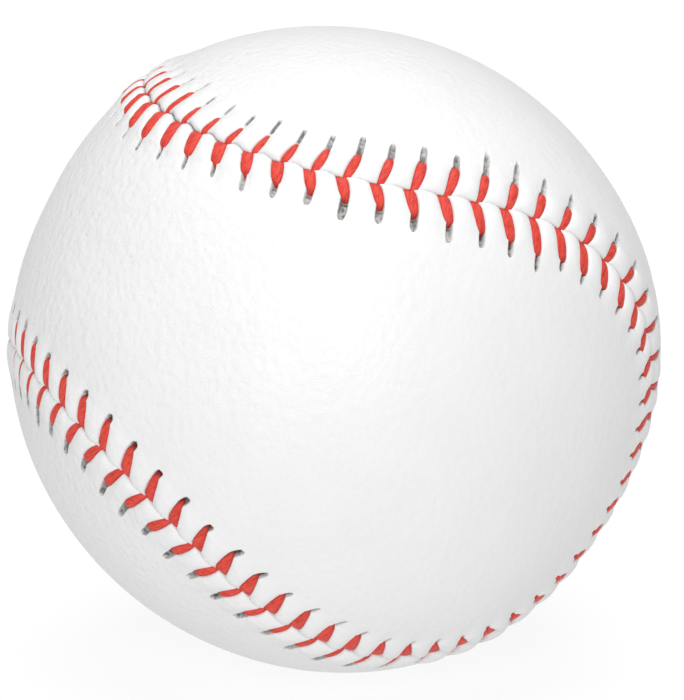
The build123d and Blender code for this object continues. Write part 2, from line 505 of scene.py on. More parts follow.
class MeshDraft:
    """Collects rows of points and the faces between them, then makes one object of them."""

    def __init__(self) -> None:
        """Starts with nothing drawn."""
        self.points: list[np.ndarray] = []
        self.faces: list[list[int]] = []
        self.marks: dict[str, list[tuple[np.ndarray, np.ndarray]]] = {}
        self.count = 0

    def row(self, points: np.ndarray, **marks: np.ndarray) -> np.ndarray:
        """Adds points.

        Args:
            points: An array of points, three numbers each.
            marks: A number or a vector for each point, under the name that a shader reads.

        Returns:
            The numbers of the new points, in the shape of the array.
        """
        flat = points.reshape(-1, 3)
        numbers = np.arange(self.count, self.count + len(flat))
        self.points.append(flat)
        self.count += len(flat)
        for name, values in marks.items():
            self.marks.setdefault(name, []).append((numbers, np.asarray(values, float)))
        return numbers.reshape(points.shape[:-1])

    def band(self, low: np.ndarray, high: np.ndarray) -> None:
        """Joins two closed rows of equal length."""
        quads = [low, np.roll(low, -1), np.roll(high, -1), high]
        self.faces.extend(np.stack(quads, axis=1).tolist())

    def sheet(self, grid: np.ndarray) -> None:
        """Joins a grid of points that is open at its edges."""
        quads = [grid[:-1, :-1], grid[:-1, 1:], grid[1:, 1:], grid[1:, :-1]]
        self.faces.extend(np.stack(quads, axis=-1).reshape(-1, 4).tolist())

    def halve(self, fine: np.ndarray, coarse: np.ndarray) -> None:
        """Joins a closed row to one with half as many points.

        Args:
            fine: The numbers of the longer row's points.
            coarse: The numbers of the shorter row's points.
        """
        first = fine[0::2]
        middle = fine[1::2]
        last = np.roll(first, -1)
        ahead = np.roll(coarse, -1)
        for corners in ((first, middle, coarse), (middle, ahead, coarse), (middle, last, ahead)):
            self.faces.extend(np.stack(corners, axis=1).tolist())

    def fan(self, tip: int, row: np.ndarray) -> None:
        """Joins a point to an open row."""
        self.faces.extend([[int(tip), int(a), int(b)] for a, b in zip(row, row[1:])])

    def ladder(
        self, loop: np.ndarray, spots: np.ndarray, tip: int, steps: int, reach: Callable[[np.ndarray], Any],
    ) -> None:
        """Fills a closed row on a ball with rungs from one of its edges to the other.

        Args:
            loop: The numbers of the row's points.
            spots: The points themselves.
            tip: The place in the row where one lobe ends.
            steps: How many points lie inside each rung.
            reach: Gives the radius for an array of directions.
        """
        count = len(loop)
        order = np.arange(1, count // 2)
        left = (tip + order) % count
        right = (tip - order) % count
        outward = unit(spots)
        start = outward[left][:, None, :]
        end = outward[right][:, None, :]
        sweep = np.arccos(np.clip((start * end).sum(-1, keepdims=True), -1.0, 1.0))
        share = np.linspace(0.0, 1.0, steps + 2)[1:-1][None, :, None]
        inner = (np.sin((1 - share) * sweep) * start + np.sin(share * sweep) * end) / np.sin(sweep)
        numbers = self.row(inner * reach(inner))
        rungs = np.concatenate([loop[left][:, None], numbers, loop[right][:, None]], axis=1)
        self.sheet(rungs)
        self.fan(loop[tip], rungs[0])
        self.fan(loop[(tip + count // 2) % count], rungs[-1])

    def tube(
        self, spots: np.ndarray, wide: np.ndarray, thick: np.ndarray, halves: tuple[Any, Any], sides: int,
        ply_turn: float, ply_share: float = 0.0, **marks: np.ndarray,
    ) -> float:
        """Draws a closed tube of three twisted plies along a run of points.

        Args:
            spots: The points.
            wide: Unit vectors across the tube at each of them.
            thick: Unit vectors through its thickness.
            halves: Half its width and half its thickness, as one number or as one for each point.
            sides: How many points go round it.
            ply_turn: The length in which the plies go round once.
            ply_share: How far the plies stand out, as a share of the tube.
            marks: What else a shader reads, by point and side.

        Returns:
            The tube's length.
        """
        length = run_lengths(spots)
        turn = np.linspace(0.0, 2 * math.pi, sides, endpoint=False)[None, :]
        twist = turn - 2 * math.pi * length[:, None] / ply_turn
        swell = 1 + ply_share * np.cos(3 * twist)
        out = (halves[0] * swell * np.cos(turn))[..., None] * wide[:, None, :]
        up = (halves[1] * swell * np.sin(turn))[..., None] * thick[:, None, :]
        lay = np.stack([np.broadcast_to(length[:, None], twist.shape), np.cos(twist), np.sin(twist)], -1)
        rings = self.row(spots[:, None, :] + out + up, lay=lay, **marks)
        for low, high in zip(rings, rings[1:]):
            self.band(low, high)
        self.faces.extend([rings[0].tolist(), rings[-1].tolist()])
        return float(length[-1])

    def finish(self, name: str) -> bpy.types.Object:
        """Makes the object, smooth and with its faces turned outward.

        Args:
            name: The piece's name.

        Returns:
            The new object, in the scene.
        """
        mesh = bpy.data.meshes.new(name)
        mesh.from_pydata((np.concatenate(self.points) * MM).tolist(), [], self.faces)
        shape = bmesh.new()
        shape.from_mesh(mesh)
        bmesh.ops.recalc_face_normals(shape, faces=shape.faces)
        shape.to_mesh(mesh)
        shape.free()
        for mark, parts in self.marks.items():
            wide = parts[0][1].shape[-1] == 3 and parts[0][1].ndim > 1
            values = np.zeros((self.count, 3) if wide else self.count, np.float32)
            for numbers, part in parts:
                values[numbers] = part.reshape(values[numbers].shape)
            layer = mesh.attributes.new(mark, "FLOAT_VECTOR" if wide else "FLOAT", "POINT")
            layer.data.foreach_set("vector" if wide else "value", values.ravel())
        mesh.shade_smooth()
        mesh.update()
        return add_object(name, mesh)


def add_node(tree: bpy.types.NodeTree, kind: str, inputs: dict[Any, Any], **settings: Any) -> Any:
    """Adds a shader node.

    Args:
        tree: The node tree.
        kind: The node's type.
        inputs: A value, or the output that is linked, for each named or numbered input.
        settings: The node's own settings.

    Returns:
        The node.
    """
    node = tree.nodes.new(kind)
    for name, value in settings.items():
        setattr(node, name, value)
    for name, value in inputs.items():
        if isinstance(value, bpy.types.NodeSocket):
            tree.links.new(value, node.inputs[name])
        else:
            node.inputs[name].default_value = value
    return node


def add_ramp(tree: bpy.types.NodeTree, factor: Any, stops: tuple[tuple[float, str], ...]) -> Any:
    """Adds a colour ramp and gives its colour output.

    Args:
        tree: The node tree.
        factor: The output that drives it.
        stops: Pairs of place and sRGB hex colour.

    Returns:
        The colour output.
    """
    ramp = add_node(tree, "ShaderNodeValToRGB", {"Fac": factor})
    elements = ramp.color_ramp.elements
    while len(elements) < len(stops):
        elements.new(0.5)
    for element, (place, colour) in zip(elements, stops):
        element.position = place
        element.color = linear(colour)
    return ramp.outputs["Color"]


def new_material(name: str) -> tuple[bpy.types.Material, bpy.types.NodeTree]:
    """A material without nodes.

    Args:
        name: The material's name.

    Returns:
        The material and its node tree.
    """
    material = bpy.data.materials.new(name)
    material.use_nodes = True
    tree = material.node_tree
    tree.nodes.clear()
    return material, tree


@dataclass(frozen=True)
class LeatherFinish:
    """Alum-tanned leather, rolled smooth and top-coated: white, a fine grain, a soft sheen."""

    name: str = "alum_tanned_white_leather"
    clean: str = "#d4d4d4"
    dull: str = "#d2d2d2"
    # The slits' raw leather, darkened further with painted shade of the trench
    raw_and_shade_light: str = "#999795"
    raw_and_shade_dark: str = "#4c4846"
    # Painted shade along the seam's crease
    crease_shade: str = "#8c8785"
    # Near-black painted shade for the holes that the thread goes down
    pit_shade: str = "#171312"
    ior: float = 1.5
    roughness_low: float = 0.40
    roughness_high: float = 0.56
    grain_mm: float = 0.85
    # Real pores and torn fibres are finer than the render shows, so both are drawn coarser
    pore_mm: float = 0.22
    pore_share: float = 0.5
    fibre_mm: float = 0.45
    blotch_mm: float = 9.0
    grain_depth_mm: float = 0.19
    grain_strength: float = 0.6
    grain_stretch: Triple = (1.0, 1.0, 0.75)
    grain_fade_mm: tuple[float, float] = (-36.0, 16.0)
    grain_shares: tuple[float, float] = (1.35, 0.5)

    def make(self) -> bpy.types.Material:
        """Makes the material.

        Returns:
            The material with its nodes.
        """
        material, tree = new_material(self.name)
        where = add_node(tree, "ShaderNodeTexCoord", {}).outputs["Object"]
        drawn = add_node(tree, "ShaderNodeMapping", {
            "Vector": where, "Scale": self.grain_stretch,
        }).outputs["Vector"]
        grain = add_node(tree, "ShaderNodeTexVoronoi", {
            "Vector": drawn, "Scale": 1 / (self.grain_mm * MM), "Randomness": 1.0,
        }, feature="SMOOTH_F1")
        pores, blotch, torn = [
            add_node(tree, "ShaderNodeTexNoise", {
                "Vector": where, "Scale": 1 / (size * MM), "Detail": detail,
            }).outputs["Fac"]
            for size, detail in ((self.pore_mm, 2.0), (self.blotch_mm, 3.0), (self.fibre_mm, 2.0))
        ]
        relief = add_node(tree, "ShaderNodeMath", {
            0: pores, 1: self.pore_share, 2: grain.outputs["Distance"],
        }, operation="MULTIPLY_ADD").outputs["Value"]
        # The hide's grain runs deeper towards one flank than towards the other
        flank = add_node(tree, "ShaderNodeSeparateXYZ", {"Vector": where}).outputs["X"]
        share = add_node(tree, "ShaderNodeMapRange", {
            "Value": flank, "From Min": self.grain_fade_mm[0] * MM, "From Max": self.grain_fade_mm[1] * MM,
            "To Min": self.grain_shares[0], "To Max": self.grain_shares[1],
        }).outputs["Result"]
        height = add_node(tree, "ShaderNodeMath", {
            0: relief, 1: share,
        }, operation="MULTIPLY").outputs["Value"]
        bump = add_node(tree, "ShaderNodeBump", {
            "Height": height, "Strength": self.grain_strength, "Distance": self.grain_depth_mm * MM,
        })
        # Mottled raw leather with painted shade, for the slits
        raw_and_shade = add_ramp(tree, torn, ((0.38, self.raw_and_shade_dark), (0.60, self.raw_and_shade_light)))
        # Over the skin come the slits' raw leather and painted shade, painted shade along the seam's crease
        # and near-black painted shade in the thread's holes
        colour = add_ramp(tree, blotch, ((0.35, self.dull), (0.65, self.clean)))
        for mark, tint in (("slit", raw_and_shade), ("crease_shade", linear(self.crease_shade)), ("pit_shade", linear(self.pit_shade))):
            part = add_node(tree, "ShaderNodeAttribute", {}, attribute_name=mark).outputs["Fac"]
            colour = add_node(tree, "ShaderNodeMix", {
                MIX_SHARE: part, MIX_UNDER: colour, MIX_OVER: tint,
            }, data_type="RGBA").outputs[MIX_OUT]
        rough = add_node(tree, "ShaderNodeMapRange", {
            "Value": pores, "From Min": 0.3, "From Max": 0.7,
            "To Min": self.roughness_low, "To Max": self.roughness_high,
        }).outputs["Result"]
        shader = add_node(tree, "ShaderNodeBsdfPrincipled", {
            "Base Color": colour, "Roughness": rough, "IOR": self.ior,
            "Normal": bump.outputs["Normal"],
        })
        add_node(tree, "ShaderNodeOutputMaterial", {"Surface": shader.outputs["BSDF"]})
        return material


def spun_fibres(
    tree: bpy.types.NodeTree, streak_mm: float, fibres_round: float, roughness: float, depth_mm: float,
    strength: float,
) -> tuple[Any, Any]:
    """Draws the fibres that run along a twisted thread or yarn, coarser than real ones so that they show.

    Args:
        tree: The node tree.
        streak_mm: How long a streak of fibres is.
        fibres_round: How many streaks fit across the thread's radius.
        roughness: How rough the streaks' pattern is.
        depth_mm: How deep the fibres lie.
        strength: How strong that relief shows.

    Returns:
        The output that holds the fibres' shade, and the one with the relief's normal.
    """
    lay = add_node(tree, "ShaderNodeAttribute", {}, attribute_name="lay").outputs["Vector"]
    drawn = add_node(tree, "ShaderNodeMapping", {
        "Vector": lay, "Scale": (1 / streak_mm, fibres_round, fibres_round),
    }).outputs["Vector"]
    fibres = add_node(tree, "ShaderNodeTexNoise", {
        "Vector": drawn, "Scale": 1.0, "Detail": 4.0, "Roughness": roughness,
    }).outputs["Fac"]
    bump = add_node(tree, "ShaderNodeBump", {
        "Height": fibres, "Strength": strength, "Distance": depth_mm * MM,
    })
    return fibres, bump.outputs["Normal"]


@dataclass(frozen=True)
class ThreadFinish:
    """Plied cotton, dyed and drawn through wax: fibres run along it, with a dull shine."""

    name: str = "waxed_red_cotton_thread"
    light: str = "#d74e40"
    middle: str = "#c5392d"
    dark: str = "#8f1a14"
    # Near-black red: painted shade where the thread goes down into its holes and under the seam
    dive_shade: str = "#2a0f0c"
    ior: float = 1.48
    roughness: float = 0.55
    shine: float = 0.3
    streak_mm: float = 0.8
    fibres_round: float = 3.4
    fibre_roughness: float = 0.7
    fibre_depth_mm: float = 0.08
    fibre_strength: float = 0.8

    def make(self) -> bpy.types.Material:
        """Makes the material.

        Returns:
            The material with its nodes.
        """
        material, tree = new_material(self.name)
        fibres, normal = spun_fibres(
            tree, self.streak_mm, self.fibres_round, self.fibre_roughness, self.fibre_depth_mm,
            self.fibre_strength,
        )
        dyed = add_ramp(tree, fibres, ((0.30, self.dark), (0.48, self.middle), (0.70, self.light)))
        # The thread is mixed towards that near-black red where it dives: painted shade
        shade = add_node(tree, "ShaderNodeAttribute", {}, attribute_name="shade").outputs["Fac"]
        colour = add_node(tree, "ShaderNodeMix", {
            MIX_SHARE: shade, MIX_UNDER: dyed, MIX_OVER: linear(self.dive_shade),
        }, data_type="RGBA").outputs[MIX_OUT]
        shader = add_node(tree, "ShaderNodeBsdfPrincipled", {
            "Base Color": colour, "Roughness": self.roughness, "IOR": self.ior,
            "Specular IOR Level": self.shine, "Normal": normal,
        })
        add_node(tree, "ShaderNodeOutputMaterial", {"Surface": shader.outputs["BSDF"]})
        return material


@dataclass(frozen=True)
class YarnFinish:
    """Spun yarn: fibres twist round it, matte, with a soft fuzz at its edges."""

    name: str
    light: str
    dark: str
    ior: float = 1.53
    roughness: float = 0.9
    streak_mm: float = 2.5
    fibres_round: float = 2.0
    fibre_depth_mm: float = 0.12
    fibre_roughness: float = 0.5
    fibre_strength: float = 1.0
    fuzz: float = 0.4

    def make(self) -> bpy.types.Material:
        """Makes the material.

        Returns:
            The material with its nodes.
        """
        material, tree = new_material(self.name)
        fibres, normal = spun_fibres(
            tree, self.streak_mm, self.fibres_round, self.fibre_roughness, self.fibre_depth_mm,
            self.fibre_strength,
        )
        colour = add_ramp(tree, fibres, ((0.3, self.dark), (0.7, self.light)))
        shader = add_node(tree, "ShaderNodeBsdfPrincipled", {
            "Base Color": colour, "Roughness": self.roughness, "IOR": self.ior,
            "Sheen Weight": self.fuzz, "Normal": normal,
        })
        add_node(tree, "ShaderNodeOutputMaterial", {"Surface": shader.outputs["BSDF"]})
        return material


@dataclass(frozen=True)
class GranularFinish:
    """A body pressed or moulded of grains: their specks show, and their edges make it matte."""

    name: str
    light: str
    dark: str
    grain_mm: float
    roughness: float
    ior: float
    relief_mm: float
    relief_strength: float = 0.6

    def make(self) -> bpy.types.Material:
        """Makes the material.

        Returns:
            The material with its nodes.
        """
        material, tree = new_material(self.name)
        where = add_node(tree, "ShaderNodeTexCoord", {}).outputs["Object"]
        cells = add_node(tree, "ShaderNodeTexVoronoi", {
            "Vector": where, "Scale": 1 / (self.grain_mm * MM),
        })
        shade = add_node(tree, "ShaderNodeSeparateColor", {
            "Color": cells.outputs["Color"],
        }).outputs["Red"]
        bump = add_node(tree, "ShaderNodeBump", {
            "Height": cells.outputs["Distance"], "Strength": self.relief_strength,
            "Distance": self.relief_mm * MM,
        })
        colour = add_ramp(tree, shade, ((0.1, self.dark), (0.8, self.light)))
        shader = add_node(tree, "ShaderNodeBsdfPrincipled", {
            "Base Color": colour, "Roughness": self.roughness, "IOR": self.ior,
            "Normal": bump.outputs["Normal"],
        })
        add_node(tree, "ShaderNodeOutputMaterial", {"Surface": shader.outputs["BSDF"]})
        return material


@dataclass
class SoftPiece:
    """A soft piece of the ball, which stands for the plain solid of a CAD node."""

    node: str
    slot: str

    def dress(self, piece: bpy.types.Object, material: bpy.types.Material) -> None:
        """Gives the built piece its material and its place in the frame.

        Args:
            piece: The piece.
            material: Its finish.
        """
        piece.data.materials.append(material)
        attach(piece, BODY)
        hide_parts(self.node)
        LOG.info("%s stands for %s: %d faces", piece.name, self.node, len(piece.data.polygons))


@dataclass
class LeatherPanel(SoftPiece):
    """One figure-eight panel: a field of plain leather, and a welt of puffs along the seam."""

    seam: Seam
    plan: StitchPlan
    side: Side
    inside_depth: float = 1.3
    tunnel_depth: float = 0.56
    floor_depth: float = 0.5
    edge_gap: float = 0.002
    edge_round: float = 0.42
    edge_drop: float = 0.12
    crease_drop: float = 0.28
    scallop_start: float = 0.08
    scallop_share: float = 0.72
    wall: float = 0.09
    tuck: float = 0.05
    leg_depth: float = 0.56
    notch_depth: float = 0.9
    slit_half_width: float = 0.38
    slit_depth: float = 0.5
    slit_rim: float = 0.16
    pit_depth: float = 0.4
    pit_past: float = 0.42
    pit_half_length: float = 0.32
    least_half_width: float = 0.24
    column_reach: float = 1.1
    slit_bluntness: int = 6
    fold_across: float = 0.2
    scallop_across: float = 2.2
    scallop_sharpness: float = 1.5
    notch_across: tuple[float, float] = (0.10, 0.60)

    # Between which distances from the seam the welt's height passes over into the field's
    field_across: tuple[float, float] = (4.8, 9.0)
    # Between which distances from the thread's hole the puffs turn gentle, the groove turns into the slit,
    # and the slit opens
    gentle_past_hole: tuple[float, float] = (-0.2, 0.6)
    slit_past_hole: tuple[float, float] = (-0.25, -0.05)
    open_past_hole: tuple[float, float] = (-0.25, 0.1)
    # A puff starts this far inside the groove's edge, rises in a bow and flattens towards its top
    puff_start: float = 0.1
    puff_bow: float = 2.2
    puff_flatness: float = 0.7
    # The groove's wall starts this far inside its edge
    wall_start: float = 0.03
    # Rows past the welt, and rows over the lacing's tunnel: columns that become one, distance from the seam
    field_rows: tuple[tuple[int, float], ...] = ((2, 9.2), (4, 10.4))
    tunnel_rows: tuple[tuple[int, float], ...] = ((2, 1.0), (4, 4.8))
    tunnel_end: float = 6.4
    outside_rungs: int = 32
    inside_rungs: int = 16

    # Columns out from a leg's middle: a share of its half width, and a distance past that
    columns: Knots = (
        (0.0, 0.0), (0.5, 0.0), (0.85, 0.0), (1.0, -0.03), (1.0, 0.06), (1.0, 0.17), (1.0, 0.36),
        (1.0, 0.64), (1.0, 0.98),
    )
    # Rows as distances from the seam: close together at its edge and at the slits' ends
    rows: tuple[float, ...] = (
        0.002, 0.05, 0.12, 0.22, 0.34, 0.5, 0.72, 1.0, 1.3, 1.65, 2.0, 2.3, 2.48, 2.66, 2.84, 3.02,
        3.2, 3.38, 3.56, 3.74, 3.92, 4.1, 4.28, 4.46, 4.64, 4.82, 5.0, 5.18, 5.36, 5.54, 5.72, 5.9,
        6.08, 6.26, 6.5, 6.9, 7.5, 8.3,
    )
    # By stitch number: how sharp the seam's crease is, which also sets its painted shade, and how far it
    # bulges between the stitches
    crease: Knots = ((0, 0.9), (5, 0.8), (8, 0.2), (12, 0.05), (60, 0.05), (100, 0.3), (108, 0.9))
    bulge: Knots = ((0, 0.25), (5, 0.40), (8, 0.32), (12, 0.10), (60, 0.10), (108, 0.25))
    # The puffs' height over the leather about them, by distance from the seam
    puff: Knots = (
        (0.0, 0.30), (0.5, 0.46), (1.2, 0.52), (2.2, 0.48), (3.2, 0.34), (4.2, 0.17), (5.4, 0.05),
        (6.6, 0.0),
    )

    def legs(self, across: float) -> np.ndarray:
        """Where along the seam each leg's middle is, at a distance from the seam."""
        stitches = np.arange(self.seam.stitches) * self.seam.pitch
        return stitches + self.plan.leg_lead(self.side, across)

    def half_widths(self, across: float) -> np.ndarray:
        """Half the width of each stitch's groove or slit.

        Args:
            across: The distance from the seam.

        Returns:
            Half a width for each stitch.
        """
        row = self.side.row
        hole = self.plan.holes[row]
        share = np.clip(across / hole, 0.0, 1.0)
        leg = self.plan.leg_width(self.side, share) / 2 - self.tuck
        past = np.clip((across - hole) / (self.plan.ends[row] - hole), 0.0, 1.0)
        slit = self.slit_half_width * self.plan.slims[row] * np.sqrt(1 - past ** self.slit_bluntness)
        return np.where(across < hole, leg, np.minimum(leg, slit))

    def spread(self, across: float) -> tuple[np.ndarray, np.ndarray, np.ndarray]:
        """Spreads a row's columns between the legs.

        Args:
            across: The row's distance from the seam.

        Returns:
            The columns' places along the seam, their distances from the nearer leg, and half
            the gap between the legs on both sides, each by stitch and column.
        """
        legs = self.legs(across)
        ahead = np.append(legs[1:], legs[0] + self.seam.stitches * self.seam.pitch)
        half = (ahead - legs)[:, None] / 2
        width = np.maximum(self.half_widths(across), self.least_half_width)[:, None]
        next_width = np.roll(width, -1, axis=0)
        shares, past = np.array(self.columns).T
        offsets, next_offsets = [
            each * shares + past * np.minimum(1.0, (half - each) / self.column_reach)
            for each in (width, next_width)
        ]
        before = legs[:, None] + offsets
        after = (ahead[:, None] - next_offsets[:, 1:])[:, ::-1]
        along = np.concatenate([before, legs[:, None] + half, after], axis=1)
        reach = np.concatenate([offsets, half, next_offsets[:, :0:-1]], axis=1)
        return along, reach, np.broadcast_to(half, reach.shape)

    def of_nearer_leg(self, values: np.ndarray) -> np.ndarray:
        """Gives each column the value of the leg that is nearer to it.

        Args:
            values: One value for each stitch.

        Returns:
            The values by stitch and column.
        """
        before = np.repeat(values[:, None], len(self.columns) + 1, axis=1)
        after = np.repeat(np.roll(values, -1)[:, None], len(self.columns) - 1, axis=1)
        return np.concatenate([before, after], axis=1)

    def relief(self, across: float, reach: np.ndarray, half: np.ndarray) -> tuple[np.ndarray, ...]:
        """Shapes a row over the leather about it: puffs, a groove under each leg, a slit past it.

        Args:
            across: The row's distance from the seam.
            reach: Each column's distance from the nearer leg.
            half: Half the gap between the legs there.

        Returns:
            Heights, how much each point takes of the slits' raw leather and painted shade, and how much
            of the painted shade in the hole that the thread goes down.
        """
        row = self.side.row
        hole = self.of_nearer_leg(self.plan.holes[row])
        slit_end = self.of_nearer_leg(self.plan.ends[row])
        half_width = self.of_nearer_leg(self.half_widths(across))
        puffs = self.plan.puffs[row][:, None]
        share = (reach - half_width + self.puff_start) / (half - half_width + self.puff_start)
        steep = (1 - (1 - np.clip(share, 0.0, 1.0)) ** self.puff_bow) ** self.puff_flatness
        gentle = 0.5 - 0.5 * np.cos(math.pi * np.clip(reach / half, 0.0, 1.0))
        past_hole, in_slit = [
            smoothstep(hole + start, hole + end, across)
            for start, end in (self.gentle_past_hole, self.slit_past_hole)
        ]
        pillow = steep + (gentle - steep) * past_hole
        height = eased(across, self.puff) * puffs * pillow
        notch = self.notch_depth * (1 - smoothstep(*self.notch_across, across))
        near = np.exp(-((across - hole - self.pit_past) / self.pit_half_length) ** 2)
        late = hole + self.of_nearer_leg(self.plan.lates[row])
        opened = smoothstep(late + self.open_past_hole[0], late + self.open_past_hole[1], across)
        in_depth = opened * (self.slit_depth + self.pit_depth * near)
        depth = (1 - in_slit) * (self.leg_depth + notch) + in_slit * in_depth
        foot = half_width - self.wall_start
        inside = 1 - smoothstep(foot, half_width + self.wall - self.wall_start, reach)
        inside = np.where(across > slit_end, 0.0, inside)
        # The slits' raw leather and painted shade reach a little past the groove's edge
        rim = self.slit_rim * self.of_nearer_leg(self.plan.slims[row])
        raw_and_shade_mask = 1 - smoothstep(half_width, half_width + rim, reach)
        raw_and_shade_mask = np.where(across > slit_end, 0.0, raw_and_shade_mask)
        slit = opened * raw_and_shade_mask * self.of_nearer_leg(self.plan.tones[row])
        # Near-black painted shade in the hole just past the thread's end, inside the groove
        pit_shade = inside * near * self.of_nearer_leg(self.plan.pit_shades[row])
        return height - depth * inside, slit, pit_shade

    def strip_row(self, draft: MeshDraft, across: float) -> np.ndarray:
        """Adds one row of the welt.

        Args:
            draft: The mesh that it is added to.
            across: The row's distance from the seam.

        Returns:
            The numbers of its points.
        """
        along, reach, half = self.spread(across)
        height, slit, pit_shade = self.relief(across, reach, half)
        crease = eased(along / self.seam.pitch % self.seam.stitches, self.crease)
        # Painted shade along the seam's crease, strongest where the crease is sharp
        crease_shade = crease * (1 - smoothstep(0.0, self.fold_across, across))
        turned = max(0.0, 1 - across / self.edge_round) ** 2
        height = height + self.rise(along, across)
        height = height - turned * (self.edge_drop + self.crease_drop * crease)
        height = np.maximum(height, -self.floor_depth)
        spots = self.seam.place(along, self.side.value * across + self.scallop(along, across), height)
        return draft.row(spots.reshape(-1, 3), slit=slit.ravel(), pit_shade=pit_shade.ravel(), crease_shade=crease_shade.ravel())

    def scallop(self, along: np.ndarray, across: float) -> np.ndarray:
        """How far the seam is pushed towards the outer side between one stitch and the next.

        Args:
            along: Places along the seam.
            across: The distance from the seam, by which the push dies away.

        Returns:
            The push at each place.
        """
        number = along / self.seam.pitch % self.seam.stitches
        part = (number - eased(number, self.plan.creep) / self.seam.pitch - self.scallop_start) % 1.0
        bow = np.sin(math.pi * np.clip(part / self.scallop_share, 0.0, 1.0)) ** self.scallop_sharpness
        return eased(number, self.bulge) * bow * (1 - float(smoothstep(0.0, self.scallop_across, across)))

    def plain_row(self, across: float, keep: int, depth: float = 0.0) -> np.ndarray:
        """The points of a row without puffs that keeps one column in so many.

        Args:
            across: The row's distance from the seam.
            keep: How many columns become one.
            depth: How deep under the plain ball it lies; at none, it is on the leather's outside.

        Returns:
            The points.
        """
        along = self.spread(across)[0].ravel()[::keep]
        height = -depth if depth else self.rise(along, across)
        return self.seam.place(along, self.side.value * across, height)

    def rise(self, along: np.ndarray, across: float) -> np.ndarray:
        """How high a row stands without its puffs, passing over from the welt to the field.

        Args:
            along: Distances along the seam.
            across: The row's distance from it.

        Returns:
            The heights over the plain ball.
        """
        near = self.plan.ground(self.side, across, along / self.seam.pitch)
        share = float(smoothstep(*self.field_across, across))
        if share == 0.0:
            return near
        directions = self.seam.place(along, self.side.value * across, 0.0) / self.seam.radius
        return near + share * (self.plan.field_ground(self.side, directions) - near)

    def outside(self, directions: np.ndarray) -> np.ndarray:
        """The radius of the leather's outside in the panel's field."""
        return (self.seam.radius + self.plan.field_ground(self.side, directions))[..., None]

    def inside(self, directions: np.ndarray) -> float:
        """The radius of the leather's flesh side, alike in all directions."""
        return self.seam.radius - self.inside_depth

    def lobe_tip(self, spots: np.ndarray) -> int:
        """Finds where a closed row passes the end of one of the panel's lobes.

        Args:
            spots: The row's points.

        Returns:
            The place in the row.
        """
        lobe_angle = -self.side.value * math.pi / 4
        end = self.seam.direction(np.array([lobe_angle]))[0]
        return int(np.argmax(spots @ end))

    def build(self) -> bpy.types.Object:
        """Builds the panel as a closed shell: the outside, the cut edge and the flesh side.

        Returns:
            The panel's object.
        """
        draft = MeshDraft()
        rows = [self.strip_row(draft, across) for across in self.rows]
        for low, high in zip(rows, rows[1:]):
            draft.band(low, high)
        fine = rows[-1]
        for keep, across in self.field_rows:
            spots = self.plain_row(across, keep)
            coarse = draft.row(spots)
            draft.halve(fine, coarse)
            fine = coarse
        draft.ladder(fine, spots, self.lobe_tip(spots), self.outside_rungs, self.outside)
        along = self.spread(self.edge_gap)[0].ravel()
        across = self.side.value * self.edge_gap + self.scallop(along, self.edge_gap)
        edge = draft.row(self.seam.place(along, across, -self.tunnel_depth))
        draft.band(edge, rows[0])
        fine = edge
        for keep, across in self.tunnel_rows:
            coarse = draft.row(self.plain_row(across, keep, self.tunnel_depth))
            draft.halve(fine, coarse)
            fine = coarse
        spots = self.plain_row(self.tunnel_end, keep, self.inside_depth)
        inner = draft.row(spots)
        draft.band(fine, inner)
        draft.ladder(inner, spots, self.lobe_tip(spots), self.inside_rungs, self.inside)
        return draft.finish(self.node + "_leather")


